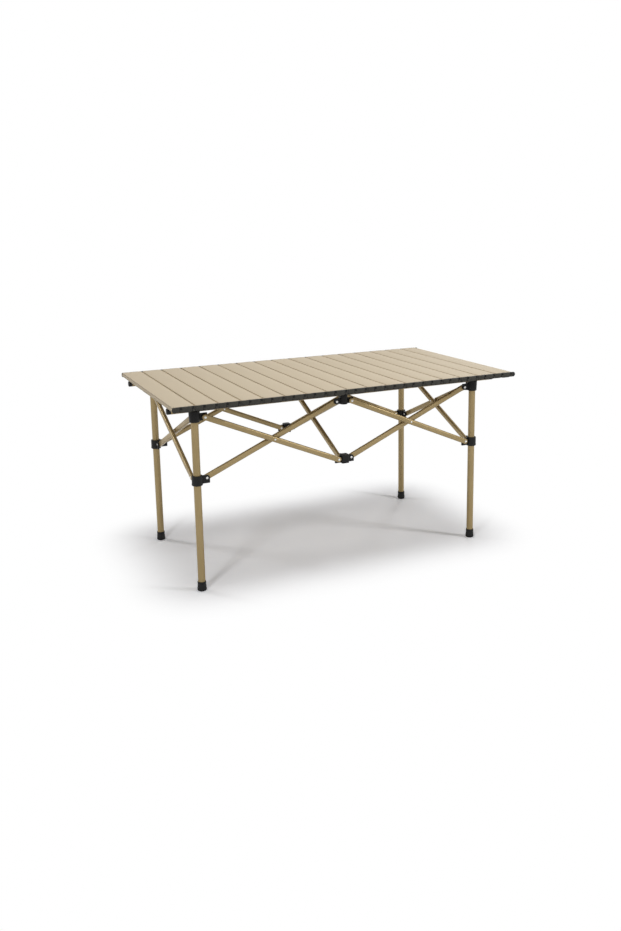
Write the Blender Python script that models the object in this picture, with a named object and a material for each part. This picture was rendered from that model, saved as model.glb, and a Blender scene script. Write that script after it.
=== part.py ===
"""Folding camp table: a roll-up top of aluminium slats on a scissor frame.

Metres, +Z up. The origin is on the floor under the middle of the frame. X runs along the
table, across the slats, and -Y is the front. The frame is the same after a half turn about
Z, so the back and the right end are the front and the left end turned by 180 degrees.
"""

import math

import bmesh
import bpy
from mathutils import Matrix, Vector

# Clearances
GAP = 0.0003
SLIDE_GAP = 0.0005

# Roll-up top
SLAT_COUNT = 17
SLAT_PITCH = 0.058
SLAT_THICKNESS = 0.014
SLAT_WALL = 0.0012
SLAT_LIP = 0.008
GROOVE_WIDTH = 0.0036
CORNER_CUT = 0.0015
TOP_DEPTH = 0.550
TOP_HEIGHT = 0.500

# Slat end caps, hinged to each other like a chain
CAP_CHEEK = 0.0024
CAP_TONGUE = 0.0024
CAP_INSET = 0.0002
HINGE_INSET = 0.0035
HINGE_DROP = 0.004
TONGUE_RADIUS = 0.0066
CAP_PIN_RADIUS = 0.0018

# Rails under the slats
RAIL_RADIUS = 0.008
RAIL_WALL = 0.0012
RAIL_INSET = 0.013
RAIL_CAP = 0.010
RAIL_CAP_PLUG = 0.014
SADDLE_DEPTH = 0.0035

# The top lies loosely on the frame, whose middle is this far along X from the top's
FRAME_SHIFT = -0.009

# Legs and feet
LEG_INSET = 0.082
LEG_RADIUS = 0.0095
LEG_WALL = 0.0012
FOOT_RADIUS = 0.0122
FOOT_HEIGHT = 0.025
FOOT_FLOOR = 0.005

# Brackets
SLEEVE_WALL = 0.0042
SLEEVE_ROOF = 0.004
TOP_SLEEVE_DROP = 0.011
COLLAR_ABOVE = 0.0095
COLLAR_BELOW = 0.016
HUB_RADIUS = 0.0105
HUB_WALL = 0.003
TOP_HUB_DROP = 0.008
LOW_HUB_ABOVE = 0.011
LOW_HUB_BELOW = 0.0125
EDGE_CUT = 0.0012
LUG_THICKNESS = 0.004
LUG_RADIUS = 0.0075
LEG_LUG = 0.0255
CENTRE_LUG = 0.0205

# Scissor bars and their rivets
BAR_HEIGHT = 0.015
BAR_THICKNESS = 0.008
BAR_CHAMFER = 0.002
TOP_PIVOT_DROP = 0.0144
LOW_PIVOT_HEIGHT = 0.297
RIVET_RADIUS = 0.0025
RIVET_HEAD_RADIUS = 0.0036
RIVET_HEAD = 0.0014
SPACER_RADIUS = 0.0055

# Facets, and how far a cutter reaches past what it cuts
TUBE_SIDES = 14
RIVET_SIDES = 6
PIN_SIDES = 6
BAR_END_STEPS = 4
OVERSHOOT = 0.002
FLAT_ANGLE = math.radians(0.2)

# Heights and places that follow from the sizes above
SLAT_UNDERSIDE = TOP_HEIGHT - SLAT_THICKNESS
RAIL_HEIGHT = SLAT_UNDERSIDE - GAP - RAIL_RADIUS
SADDLE_FLOOR = RAIL_HEIGHT - RAIL_RADIUS - GAP
TOP_PIVOT_HEIGHT = SADDLE_FLOOR - TOP_PIVOT_DROP
LEG_TOP = SADDLE_FLOOR - SLEEVE_ROOF - GAP
LEG_X = SLAT_COUNT * SLAT_PITCH / 2 - LEG_INSET
BAR_SPAN = LEG_X - LEG_LUG - CENTRE_LUG
END_LUG = (LEG_LUG + CENTRE_LUG) / 2
LEG_Y = BAR_SPAN / 2 + END_LUG
BAR_OFFSET = LUG_THICKNESS / 2 + GAP + BAR_THICKNESS / 2
BAR_REACH = math.hypot(BAR_SPAN, TOP_PIVOT_HEIGHT - LOW_PIVOT_HEIGHT)
SLEEVE_RADIUS = LEG_RADIUS + SLIDE_GAP + SLEEVE_WALL
RAIL_HALF = SLAT_COUNT * SLAT_PITCH / 2 - RAIL_INSET
SLAT_END = TOP_DEPTH / 2 - CAP_CHEEK - CAP_TONGUE - 2 * GAP

FRONT = Matrix.Translation((FRAME_SHIFT, 0, 0))
BACK = FRONT @ Matrix.Rotation(math.pi, 4, "Z")


def clear_scene():
    """Remove what the scene holds."""
    for thing in list(bpy.data.objects):
        bpy.data.objects.remove(thing)


def finish(name, srgb, roughness, metallic):
    """A Principled BSDF material from an 8-bit sRGB colour."""
    linear = [((c / 255 + 0.055) / 1.055) ** 2.4 for c in srgb]
    material = bpy.data.materials.new(name)
    material.use_nodes = True
    shader = material.node_tree.nodes["Principled BSDF"]
    shader.inputs["Base Color"].default_value = (*linear, 1.0)
    shader.inputs["Roughness"].default_value = roughness
    shader.inputs["Metallic"].default_value = metallic
    material.diffuse_color = (*linear, 1.0)
    return material


def scratch(bm, name="scratch"):
    """Close a bmesh into an object that can be joined or cut."""
    bmesh.ops.recalc_face_normals(bm, faces=bm.faces)
    mesh = bpy.data.meshes.new(name)
    bm.to_mesh(mesh)
    bm.free()
    thing = bpy.data.objects.new(name, mesh)
    bpy.context.collection.objects.link(thing)
    return thing


def combine(body, tool, operation):
    """Join the tool to the body, or cut it out, and drop the tool."""
    step = body.modifiers.new("combine", "BOOLEAN")
    step.operation = operation
    step.solver = "EXACT"
    step.object = tool
    depsgraph = bpy.context.evaluated_depsgraph_get()
    result = bpy.data.meshes.new_from_object(body.evaluated_get(depsgraph))
    body.modifiers.clear()
    body.data = result
    bpy.data.objects.remove(tool)


def join(body, *tools):
    """Fuse each tool to the body."""
    for tool in tools:
        combine(body, tool, "UNION")
    return body


def cut(body, *tools):
    """Cut each tool out of the body."""
    for tool in tools:
        combine(body, tool, "DIFFERENCE")
    return body


def finished_mesh(body, name):
    """Take a scratch object's mesh, its flat faces whole and its round ones shaded smooth."""
    bm = bmesh.new()
    bm.from_mesh(body.data)
    bmesh.ops.dissolve_limit(bm, angle_limit=FLAT_ANGLE, verts=bm.verts, edges=bm.edges)
    mesh = bpy.data.meshes.new(name)
    bm.to_mesh(mesh)
    bm.free()
    bpy.data.objects.remove(body)
    mesh.shade_smooth()
    mesh.set_sharp_from_angle(angle=math.radians(35))
    return mesh


def extrude_section(points, start, end):
    """A prism: an outline in X and Z, extruded along Y."""
    bm = bmesh.new()
    face = bm.faces.new([bm.verts.new((x, start, z)) for x, z in points])
    grown = bmesh.ops.extrude_face_region(bm, geom=[face])["geom"]
    far_verts = [v for v in grown if isinstance(v, bmesh.types.BMVert)]
    bmesh.ops.translate(bm, verts=far_verts, vec=(0, end - start, 0))
    return bm


def turn_profile(profile, sides):
    """A solid turned about Z from a closed profile of (radius, height) points."""
    bm = bmesh.new()
    rings = []
    for radius, height in profile:
        if radius == 0:
            rings.append([bm.verts.new((0, 0, height))] * sides)
            continue
        angles = [2 * math.pi * i / sides for i in range(sides)]
        rings.append([bm.verts.new((radius * math.cos(a), radius * math.sin(a), height)) for a in angles])
    for ring, after in zip(rings, rings[1:] + rings[:1]):
        for i in range(sides):
            j = (i + 1) % sides
            corners = [ring[i], ring[j], after[j], after[i]]
            corners = [v for n, v in enumerate(corners) if v not in corners[:n]]
            if len(corners) > 2:
                bm.faces.new(corners)
    return bm


def cylinder(radius, start, end, sides):
    """A plain cylinder along Z."""
    return turn_profile([(0, start), (radius, start), (radius, end), (0, end)], sides)


def tube(outer, inner, start, end):
    """An open tube along Z."""
    return turn_profile([(outer, start), (outer, end), (inner, end), (inner, start)], TUBE_SIDES)


def along_x(bm):
    """Lay a solid that stands along Z along X instead."""
    bm.transform(Matrix.Rotation(math.pi / 2, 4, "Y"))
    return bm


def along_y(bm):
    """Lay a solid that stands along Z along Y instead."""
    bm.transform(Matrix.Rotation(-math.pi / 2, 4, "X"))
    return bm


def moved(bm, x, y, z):
    """Shift a bmesh."""
    bm.transform(Matrix.Translation((x, y, z)))
    return bm


def arc(centre_x, centre_z, radius, start, end, steps):
    """Points of an arc in X and Z, from one angle in degrees to another."""
    angles = [math.radians(start + (end - start) * i / steps) for i in range(steps + 1)]
    return [(centre_x + radius * math.cos(a), centre_z + radius * math.sin(a)) for a in angles]


def slat_section():
    """Section of one slat about its hinge axis: a channel, open underneath."""
    middle = SLAT_PITCH / 2 - HINGE_INSET
    side = SLAT_PITCH / 2 - GAP
    crest = SLAT_PITCH / 2 - GROOVE_WIDTH / 2
    top = HINGE_DROP
    bottom = HINGE_DROP - SLAT_THICKNESS
    roof = top - SLAT_WALL
    half = [
        (crest, top),
        (side, 0),
        (side, bottom + CORNER_CUT),
        (side - CORNER_CUT, bottom),
        (side - SLAT_LIP, bottom),
        (side - SLAT_LIP, bottom + SLAT_WALL),
        (side - SLAT_WALL, bottom + SLAT_WALL),
        (side - SLAT_WALL, 0),
        (crest - SLAT_WALL, roof),
    ]
    right = [(middle + x, z) for x, z in half]
    left = [(middle - x, z) for x, z in reversed(half)]
    return right + left


def cap_section():
    """Outline of an end cap, just inside the slat's own outline."""
    middle = SLAT_PITCH / 2 - HINGE_INSET
    side = SLAT_PITCH / 2 - GAP - CAP_INSET
    crest = SLAT_PITCH / 2 - GROOVE_WIDTH / 2 - CAP_INSET
    top = HINGE_DROP - CAP_INSET
    bottom = HINGE_DROP - SLAT_THICKNESS + CAP_INSET
    half = [(crest, top), (side, 0), (side, bottom + CORNER_CUT), (side - CORNER_CUT, bottom)]
    return [(middle + x, z) for x, z in half] + [(middle - x, z) for x, z in reversed(half)]


def box_section(left, right, low, high):
    """A rectangle in X and Z."""
    return [(left, low), (right, low), (right, high), (left, high)]


def end_cap():
    """The front end cap of one slat: a cheek with a pin on its left, a tongue with a hole on its right."""
    face = -TOP_DEPTH / 2
    cheek_back = face + CAP_CHEEK
    tongue_back = cheek_back + GAP + CAP_TONGUE
    centre_z = HINGE_DROP - SLAT_THICKNESS / 2
    sweep = TONGUE_RADIUS + abs(centre_z) + GAP
    neck = SLAT_PITCH - HINGE_INSET - TONGUE_RADIUS
    tongue = [(neck, centre_z - TONGUE_RADIUS)]
    tongue += arc(SLAT_PITCH, centre_z, TONGUE_RADIUS, -90, 90, 4)
    tongue += [(neck, centre_z + TONGUE_RADIUS)]
    socket = box_section(-SLAT_PITCH / 2, sweep, -SLAT_THICKNESS, SLAT_THICKNESS)
    pin = cylinder(CAP_PIN_RADIUS, cheek_back - CAP_CHEEK / 2, tongue_back, PIN_SIDES)
    hole_radius = (CAP_PIN_RADIUS + GAP) / math.cos(math.pi / PIN_SIDES)
    hole = cylinder(hole_radius, face - OVERSHOOT, OVERSHOOT - SLAT_END, PIN_SIDES)
    cap = scratch(extrude_section(cap_section(), face, -SLAT_END))
    cut(cap, scratch(extrude_section(socket, cheek_back, OVERSHOOT - SLAT_END)))
    join(
        cap,
        scratch(extrude_section(tongue, cheek_back + GAP, tongue_back)),
        scratch(along_y(pin)),
    )
    return cut(cap, scratch(moved(along_y(hole), SLAT_PITCH, 0, 0)))


def back_copy(body):
    """A copy of a front end cap, mirrored to the back end of the slat."""
    bm = bmesh.new()
    bm.from_mesh(body.data)
    bm.transform(Matrix.Scale(-1, 4, (0, 1, 0)))
    return scratch(bm)


def slat_mesh():
    """One slat with its two end caps, about its hinge axis."""
    slat = scratch(extrude_section(slat_section(), -SLAT_END, SLAT_END))
    front_cap = end_cap()
    rear_cap = back_copy(front_cap)
    return finished_mesh(join(slat, front_cap, rear_cap), "slat")


def rail_mesh():
    """A round rail tube along X."""
    length = RAIL_HALF - RAIL_CAP
    rail = tube(RAIL_RADIUS, RAIL_RADIUS - RAIL_WALL, -length, length)
    return finished_mesh(scratch(along_x(rail)), "rail")


def rail_cap_mesh():
    """The plug that closes a rail, its face towards -X and its shoulder at the origin."""
    bore = RAIL_RADIUS - RAIL_WALL - GAP
    profile = [
        (0, -RAIL_CAP),
        (RAIL_RADIUS - EDGE_CUT, -RAIL_CAP),
        (RAIL_RADIUS, EDGE_CUT - RAIL_CAP),
        (RAIL_RADIUS, -GAP),
        (bore, -GAP),
        (bore, RAIL_CAP_PLUG),
        (0, RAIL_CAP_PLUG),
    ]
    return finished_mesh(scratch(along_x(turn_profile(profile, TUBE_SIDES))), "rail_cap")


def leg_mesh():
    """A leg tube, standing on the foot's floor."""
    leg = tube(LEG_RADIUS, LEG_RADIUS - LEG_WALL, FOOT_FLOOR + GAP, LEG_TOP)
    return finished_mesh(scratch(leg), "leg")


def foot_mesh():
    """A foot cap: a cup with a rounded base that the leg stands in."""
    bore = LEG_RADIUS + GAP
    rounding = FOOT_RADIUS / 3
    turned_base = arc(FOOT_RADIUS - rounding, rounding, rounding, -90, 0, 2)
    profile = [(0, 0), *turned_base]
    profile += [(FOOT_RADIUS, FOOT_HEIGHT - EDGE_CUT), (FOOT_RADIUS - EDGE_CUT, FOOT_HEIGHT)]
    profile += [(bore, FOOT_HEIGHT), (bore, FOOT_FLOOR), (0, FOOT_FLOOR)]
    return finished_mesh(scratch(turn_profile(profile, TUBE_SIDES)), "foot")


def rivet(side):
    """A rivet along Y through a lug and the bar on its +Y or -Y side."""
    lug = LUG_THICKNESS / 2
    far = lug + GAP + BAR_THICKNESS + GAP
    profile = [
        (0, -lug - RIVET_HEAD),
        (RIVET_HEAD_RADIUS - RIVET_HEAD / 2, -lug - RIVET_HEAD),
        (RIVET_HEAD_RADIUS, -lug / 2),
        (RIVET_RADIUS, -lug / 2),
        (RIVET_RADIUS, far),
        (RIVET_HEAD_RADIUS, far),
        (RIVET_HEAD_RADIUS - RIVET_HEAD / 2, far + RIVET_HEAD),
        (0, far + RIVET_HEAD),
    ]
    bm = along_y(turn_profile(profile, RIVET_SIDES))
    if side < 0:
        bm.transform(Matrix.Rotation(math.pi, 4, "Z"))
    return bm


def lug_outline(root, reach, low, high, side):
    """A lug's side view: round where the bar passes, and square on the side it turns away from."""
    tip = reach + LUG_RADIUS
    if side > 0:
        corner = [(tip - EDGE_CUT, low), (tip, low + EDGE_CUT)]
        return [(root, low), *corner, *arc(reach, 0, LUG_RADIUS, 0, 80, 3), (root, high)]
    corner = [(tip, high - EDGE_CUT), (tip - EDGE_CUT, high)]
    return [(root, low), *arc(reach, 0, LUG_RADIUS, -80, 0, 3), *corner, (root, high)]


def add_lugs(body, root, low, high, lugs, side):
    """Fuse lugs and their rivets to a bracket whose pivots are at height 0.

    root is where a lug starts, low and high are its heights there, and each lug is its
    heading in degrees and its reach. A bar lies on its lug's left, side 1, on the brackets
    at the low pivots, and on its right, side -1, on those at the top.
    """
    for heading, reach in lugs:
        turn = Matrix.Rotation(math.radians(heading), 4, "Z")
        outline = lug_outline(root, reach, low, high, side)
        plate = extrude_section(outline, -LUG_THICKNESS / 2, LUG_THICKNESS / 2)
        plate.transform(turn)
        pin = moved(rivet(side), reach, 0, 0)
        pin.transform(turn)
        join(body, scratch(plate), scratch(pin))
    return body


def saddle():
    """The round seat that a rail lies in, about a bracket's pivot height."""
    seat = cylinder(RAIL_RADIUS + GAP, -SLEEVE_RADIUS - OVERSHOOT, SLEEVE_RADIUS + OVERSHOOT, TUBE_SIDES)
    return scratch(moved(along_x(seat), 0, 0, RAIL_HEIGHT - TOP_PIVOT_HEIGHT))


def sleeve(low, high, bore, roof):
    """A leg sleeve about the pivot height, open through, or closed above a roof height."""
    shoulder = SLEEVE_RADIUS - EDGE_CUT
    profile = [
        (bore, low),
        (shoulder, low),
        (SLEEVE_RADIUS, low + EDGE_CUT),
        (SLEEVE_RADIUS, high - EDGE_CUT),
        (shoulder, high),
    ]
    if roof is None:
        profile.append((bore, high))
    else:
        profile += [(0, high), (0, roof), (bore, roof)]
    return scratch(turn_profile(profile, TUBE_SIDES))


def top_bracket_mesh(lugs, name):
    """The bracket that caps a leg and carries a rail."""
    high = SADDLE_FLOOR + SADDLE_DEPTH - TOP_PIVOT_HEIGHT
    roof = LEG_TOP + GAP - TOP_PIVOT_HEIGHT
    body = sleeve(-TOP_SLEEVE_DROP, high, LEG_RADIUS + GAP, roof)
    root = LEG_RADIUS + GAP + SLEEVE_WALL / 2
    add_lugs(body, root, EDGE_CUT - TOP_SLEEVE_DROP, roof, lugs, -1)
    return finished_mesh(cut(body, saddle()), name)


def collar_mesh(lugs, name):
    """The collar that slides on a leg and carries the lower bar ends."""
    body = sleeve(-COLLAR_BELOW, COLLAR_ABOVE, LEG_RADIUS + SLIDE_GAP, None)
    root = LEG_RADIUS + SLIDE_GAP + SLEEVE_WALL / 2
    add_lugs(body, root, 2 * EDGE_CUT - COLLAR_BELOW, COLLAR_ABOVE - EDGE_CUT, lugs, 1)
    return finished_mesh(body, name)


def hub(low, high):
    """The hub of a centre bracket, hollow from below."""
    inside = HUB_RADIUS - HUB_WALL
    shoulder = HUB_RADIUS - EDGE_CUT
    roof = high - SADDLE_DEPTH - SLEEVE_ROOF
    profile = [
        (inside, low),
        (shoulder, low),
        (HUB_RADIUS, low + EDGE_CUT),
        (HUB_RADIUS, high - EDGE_CUT),
        (shoulder, high),
        (0, high),
        (0, roof),
        (inside, roof),
    ]
    return scratch(turn_profile(profile, TUBE_SIDES))


def centre_bracket_mesh(lugs, top, name):
    """The bracket at the middle of a long side, above with a rail seat, or below."""
    if top:
        low = -TOP_HUB_DROP
        high = SADDLE_FLOOR + SADDLE_DEPTH - TOP_PIVOT_HEIGHT
    else:
        low = -LOW_HUB_BELOW
        high = LOW_HUB_ABOVE
    body = hub(low, high)
    root = HUB_RADIUS - HUB_WALL / 2
    spread = LUG_RADIUS + EDGE_CUT
    add_lugs(body, root, low + EDGE_CUT, min(high, spread), lugs, -1 if top else 1)
    if top:
        cut(body, saddle())
    return finished_mesh(body, name)


def bar_blank():
    """A scissor bar's outside: a flat bar along X with round ends, thin along Y, centred."""
    bm = bmesh.new()
    face = BAR_THICKNESS / 2
    flank = face - BAR_CHAMFER
    layers = [(-face, BAR_CHAMFER), (-flank, 0), (flank, 0), (face, BAR_CHAMFER)]
    loops = []
    for y, inset in layers:
        radius = BAR_HEIGHT / 2 - inset
        outline = arc(BAR_REACH / 2, 0, radius, -90, 90, BAR_END_STEPS)
        outline += arc(-BAR_REACH / 2, 0, radius, 90, 270, BAR_END_STEPS)
        loops.append([bm.verts.new((x, y, z)) for x, z in outline])
    for loop, after in zip(loops, loops[1:]):
        for i, vert in enumerate(loop):
            j = (i + 1) % len(loop)
            bm.faces.new([vert, loop[j], after[j], after[i]])
    bm.faces.new(loops[0])
    bm.faces.new(loops[-1])
    return scratch(bm)


def bar_hole(x):
    """A rivet hole through a bar."""
    radius = (RIVET_RADIUS + GAP) / math.cos(math.pi / RIVET_SIDES)
    hole = cylinder(radius, -BAR_THICKNESS, BAR_THICKNESS, RIVET_SIDES)
    return scratch(moved(along_y(hole), x, 0, 0))


def crossing_rivet():
    """The rivet at a bar's middle, with a spacer that holds the other bar off, towards +Y."""
    near = BAR_THICKNESS / 2
    other = 2 * BAR_OFFSET - BAR_THICKNESS / 2 - GAP
    far = 2 * BAR_OFFSET + BAR_THICKNESS / 2 + GAP
    profile = [
        (0, -near - RIVET_HEAD),
        (RIVET_HEAD_RADIUS - RIVET_HEAD / 2, -near - RIVET_HEAD),
        (RIVET_HEAD_RADIUS, RIVET_HEAD - near),
        (RIVET_RADIUS, RIVET_HEAD - near),
        (RIVET_RADIUS, near - RIVET_HEAD),
        (SPACER_RADIUS, near - RIVET_HEAD),
        (SPACER_RADIUS, other),
        (RIVET_RADIUS, other),
        (RIVET_RADIUS, far),
        (RIVET_HEAD_RADIUS, far),
        (RIVET_HEAD_RADIUS - RIVET_HEAD / 2, far + RIVET_HEAD),
        (0, far + RIVET_HEAD),
    ]
    return scratch(along_y(turn_profile(profile, RIVET_SIDES)))


def bar_mesh(riveted):
    """A scissor bar about its middle, with the crossing rivet or with a hole for it."""
    bar = cut(bar_blank(), bar_hole(-BAR_REACH / 2), bar_hole(BAR_REACH / 2))
    if riveted:
        join(bar, crossing_rivet())
        return finished_mesh(bar, "riveted_bar")
    return finished_mesh(cut(bar, bar_hole(0)), "plain_bar")


def joint_empty(name, place, parent=None):
    """An empty on a joint's axis that carries the pieces of one moving body."""
    empty = bpy.data.objects.new(name, None)
    empty.empty_display_size = 0.01
    bpy.context.collection.objects.link(empty)
    place_under(empty, Matrix.Translation(place), parent)
    return empty


def place_under(thing, world, parent):
    """Put an object at a world matrix under its parent."""
    if parent is not None:
        thing.parent = parent
        world = parent_matrix(parent).inverted() @ world
    thing.location = world.to_translation()
    thing.rotation_euler = world.to_euler()


def parent_matrix(thing):
    """World matrix of an object from its own placing and its parents'."""
    own = Matrix.LocRotScale(thing.location, thing.rotation_euler, None)
    return own if thing.parent is None else parent_matrix(thing.parent) @ own


def piece(name, mesh, material, world, parent):
    """One named node of the table."""
    own_mesh = mesh.copy()
    own_mesh.name = name
    own_mesh.materials.clear()
    own_mesh.materials.append(material)
    thing = bpy.data.objects.new(name, own_mesh)
    bpy.context.collection.objects.link(thing)
    place_under(thing, world, parent)
    return thing


def bar_piece(name, mesh, material, ends, partner, parent):
    """A bar between its top and low pivots, with the other bar of its pair on the partner side."""
    top, low = ends
    x_axis = (low - top).normalized()
    z_axis = x_axis.cross(partner).normalized()
    turn = Matrix((x_axis, partner, z_axis)).transposed().to_4x4()
    return piece(name, mesh, material, Matrix.Translation((top + low) / 2) @ turn, parent)


def build_top(slat_finish, rail_finish, plastic, front_hub, back_hub):
    """The slats, hinged outwards from the middle one, and the two rails, all lifting off the frame."""
    slat = slat_mesh()
    left = -SLAT_COUNT * SLAT_PITCH / 2 + HINGE_INSET
    hinges = [Vector((left + n * SLAT_PITCH, 0, TOP_HEIGHT - HINGE_DROP)) for n in range(SLAT_COUNT)]
    middle = SLAT_COUNT // 2
    carriers = {middle: joint_empty("top_lift", hinges[middle], front_hub)}
    for n in range(middle + 1, SLAT_COUNT):
        carriers[n] = joint_empty(f"slat_{n + 1:02d}_hinge", hinges[n], carriers[n - 1])
    for n in range(middle - 1, -1, -1):
        carriers[n] = joint_empty(f"slat_{n + 1:02d}_hinge", hinges[n + 1], carriers[n + 1])
    for n, place in enumerate(hinges):
        piece(f"slat_{n + 1:02d}", slat, slat_finish, Matrix.Translation(place), carriers[n])
    rail = rail_mesh()
    cap = rail_cap_mesh()
    for side, y, hub_empty in (("front", -LEG_Y, front_hub), ("back", LEG_Y, back_hub)):
        place = Vector((FRAME_SHIFT, y, RAIL_HEIGHT))
        lift = joint_empty(f"rail_{side}_lift", place, hub_empty)
        piece(f"rail_{side}", rail, rail_finish, Matrix.Translation(place), lift)
        for end, turn in (("left", FRONT), ("right", BACK)):
            shoulder = Matrix.Translation((0, y, RAIL_HEIGHT)) @ turn
            shoulder = shoulder @ Matrix.Translation((RAIL_CAP - RAIL_HALF, 0, 0))
            piece(f"rail_cap_{side}_{end}", cap, plastic, shoulder, lift)


def half_names(turn):
    """Names of the side and ends that one half of the frame stands on."""
    return ("front", "left", "right") if turn == FRONT else ("back", "right", "left")


def build_long_side(turn, centre, meshes, bar_finish, leg_finish, plastic):
    """One long side: its low centre bracket, two bays of crossed bars, legs and collars."""
    side, near, far = half_names(turn)
    top = TOP_PIVOT_HEIGHT
    low = LOW_PIVOT_HEIGHT
    legs = {}
    low_centre = None
    for end, sign, outer_first in ((near, -1, False), (far, 1, True)):
        leg_pivot = sign * (LEG_X - LEG_LUG)
        centre_pivot = sign * CENTRE_LUG
        middle = (leg_pivot + centre_pivot) / 2

        def at(x, z, offset=0.0):
            """A point of this side's plane."""
            return turn @ Vector((x, offset - LEG_Y, z))

        from_centre = "outer" if outer_first else "inner"
        from_leg = "inner" if outer_first else "outer"
        offsets = {"outer": -BAR_OFFSET, "inner": BAR_OFFSET}
        partners = {"outer": turn.to_3x3() @ Vector((0, 1, 0)), "inner": turn.to_3x3() @ Vector((0, -1, 0))}
        bars = {"outer": meshes["riveted_bar"], "inner": meshes["plain_bar"]}
        first = joint_empty(f"{side}_{end}_{from_centre}_hinge", at(centre_pivot, top), centre)
        second = joint_empty(f"{side}_{end}_{from_leg}_hinge", at(middle, (top + low) / 2), first)
        for empty, which, x_top, x_low in (
            (first, from_centre, centre_pivot, leg_pivot),
            (second, from_leg, leg_pivot, centre_pivot),
        ):
            ends = (at(x_top, top, offsets[which]), at(x_low, low, offsets[which]))
            bar_piece(f"bar_{side}_{end}_{which}", bars[which], bar_finish, ends, partners[which], empty)
        leg = joint_empty(f"leg_{side}_{end}_hinge", at(leg_pivot, top), second)
        collar = joint_empty(f"collar_{side}_{end}_hinge", at(leg_pivot, low), first)
        kind = "left" if sign < 0 else "right"
        stand = turn @ Matrix.Translation((sign * LEG_X, -LEG_Y, 0))
        piece(f"leg_{side}_{end}", meshes["leg"], leg_finish, stand, leg)
        piece(f"foot_{side}_{end}", meshes["foot"], plastic, stand, leg)
        high_place = stand @ Matrix.Translation((0, 0, top))
        low_place = stand @ Matrix.Translation((0, 0, low))
        piece(f"top_bracket_{side}_{end}", meshes[f"top_bracket_{kind}"], plastic, high_place, leg)
        piece(f"collar_{side}_{end}", meshes[f"collar_{kind}"], plastic, low_place, collar)
        legs[end] = leg
        if low_centre is None:
            low_centre = joint_empty(f"low_centre_{side}_hinge", at(centre_pivot, low), second)
            place = turn @ Matrix.Translation((0, -LEG_Y, low))
            piece(f"low_centre_bracket_{side}", meshes["low_centre"], plastic, place, low_centre)
    return legs


def cross_pair(names, turn, x, parent, meshes, bar_finish):
    """A crossed pair of bars from front to back; the first hangs from a front top bracket."""
    reach = LEG_Y - END_LUG
    top = TOP_PIVOT_HEIGHT
    low = LOW_PIVOT_HEIGHT
    first = joint_empty(f"{names[0]}_hinge", turn @ Vector((x, -reach, top)), parent)
    second = joint_empty(f"{names[1]}_hinge", turn @ Vector((x, 0, (top + low) / 2)), first)
    spin = turn.to_3x3()
    for name, empty, y_top, offset, bar in (
        (names[0], first, -reach, BAR_OFFSET, meshes["plain_bar"]),
        (names[1], second, reach, -BAR_OFFSET, meshes["riveted_bar"]),
    ):
        ends = (turn @ Vector((x + offset, y_top, top)), turn @ Vector((x + offset, -y_top, low)))
        partner = spin @ Vector((-math.copysign(1, offset), 0, 0))
        bar_piece(name, bar, bar_finish, ends, partner, empty)
    return second


def frame_meshes():
    """The meshes that the frame's repeated pieces share."""
    right_lug = (0, LEG_LUG)
    left_lug = (180, LEG_LUG)
    back_lug = (90, END_LUG)
    centre_lugs = [(180, CENTRE_LUG), (0, CENTRE_LUG), back_lug]
    return {
        "leg": leg_mesh(),
        "foot": foot_mesh(),
        "plain_bar": bar_mesh(False),
        "riveted_bar": bar_mesh(True),
        "top_bracket_left": top_bracket_mesh([right_lug, back_lug], "top_bracket_left"),
        "top_bracket_right": top_bracket_mesh([left_lug, back_lug], "top_bracket_right"),
        "collar_left": collar_mesh([right_lug, back_lug], "collar_left"),
        "collar_right": collar_mesh([left_lug, back_lug], "collar_right"),
        "top_centre": centre_bracket_mesh(centre_lugs, True, "top_centre"),
        "low_centre": centre_bracket_mesh(centre_lugs, False, "low_centre"),
    }


def build_table():
    """The whole table, open, on its feet."""
    clear_scene()
    slat_finish = finish("slat_coating", (200, 186, 163), 0.45, 0.3)
    rail_finish = finish("rail_coating", (170, 155, 122), 0.4, 0.3)
    bar_finish = finish("bar_coating", (170, 155, 122), 0.4, 0.3)
    leg_finish = finish("leg_coating", (165, 150, 118), 0.4, 0.3)
    plastic = finish("black_plastic", (34, 34, 34), 0.5, 0.0)
    meshes = frame_meshes()
    place = Matrix.Translation((0, -LEG_Y, TOP_PIVOT_HEIGHT))
    front_hub = joint_empty("front_hub", (FRONT @ place).to_translation())
    piece("top_centre_bracket_front", meshes["top_centre"], plastic, FRONT @ place, front_hub)
    middle = cross_pair(("bar_middle_right", "bar_middle_left"), FRONT, 0, front_hub, meshes, bar_finish)
    back_pivot = (FRAME_SHIFT, LEG_Y - END_LUG, TOP_PIVOT_HEIGHT)
    back_hub = joint_empty("back_hub", back_pivot, middle)
    piece("top_centre_bracket_back", meshes["top_centre"], plastic, BACK @ place, back_hub)
    for turn, centre in ((FRONT, front_hub), (BACK, back_hub)):
        legs = build_long_side(turn, centre, meshes, bar_finish, leg_finish, plastic)
        end = half_names(turn)[1]
        names = (f"bar_{end}_end_inner", f"bar_{end}_end_outer")
        cross_pair(names, turn, -LEG_X, legs[end], meshes, bar_finish)
    build_top(slat_finish, rail_finish, plastic, front_hub, back_hub)


build_table()
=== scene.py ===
"""Looks of the folding camp table: fine meshes, finishes, floor, light and camera.

Metres, in the frame of the CAD part: +Z up, X along the table, -Y the front. The scissor frame
is the same after a half turn about its middle, so its back repeats its front, turned.
"""

import math

import bmesh
import bpy
from mathutils import Matrix, Vector


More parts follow.
